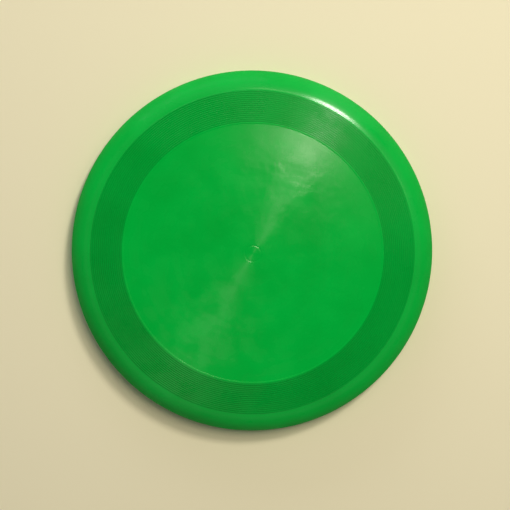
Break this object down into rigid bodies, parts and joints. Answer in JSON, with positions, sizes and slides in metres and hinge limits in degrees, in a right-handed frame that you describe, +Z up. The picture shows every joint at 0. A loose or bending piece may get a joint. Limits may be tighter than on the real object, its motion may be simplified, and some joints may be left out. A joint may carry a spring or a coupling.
{
  "type": "flying disc",
  "caption": "Round throwing disc with a flat plateau, a ridged grip band, a rounded shoulder and a downturned beaded rim around an open hollow underside.",
  "frame": {"origin": "centre of the foot, in the plane that the disc rests on", "axes": "+Z up along the disc's axis, out of the plateau; the disc is turned about Z, so X and Y are free"},
  "size_m": [0.23, 0.23, 0.0271],
  "materials": {
    "green_plastic": "glossy polyethylene with fine turning marks from the mould and a ridged grip band"
  },
  "bodies": {
    "root": {"disc": "green_plastic"}
  },
  "joints": []
}
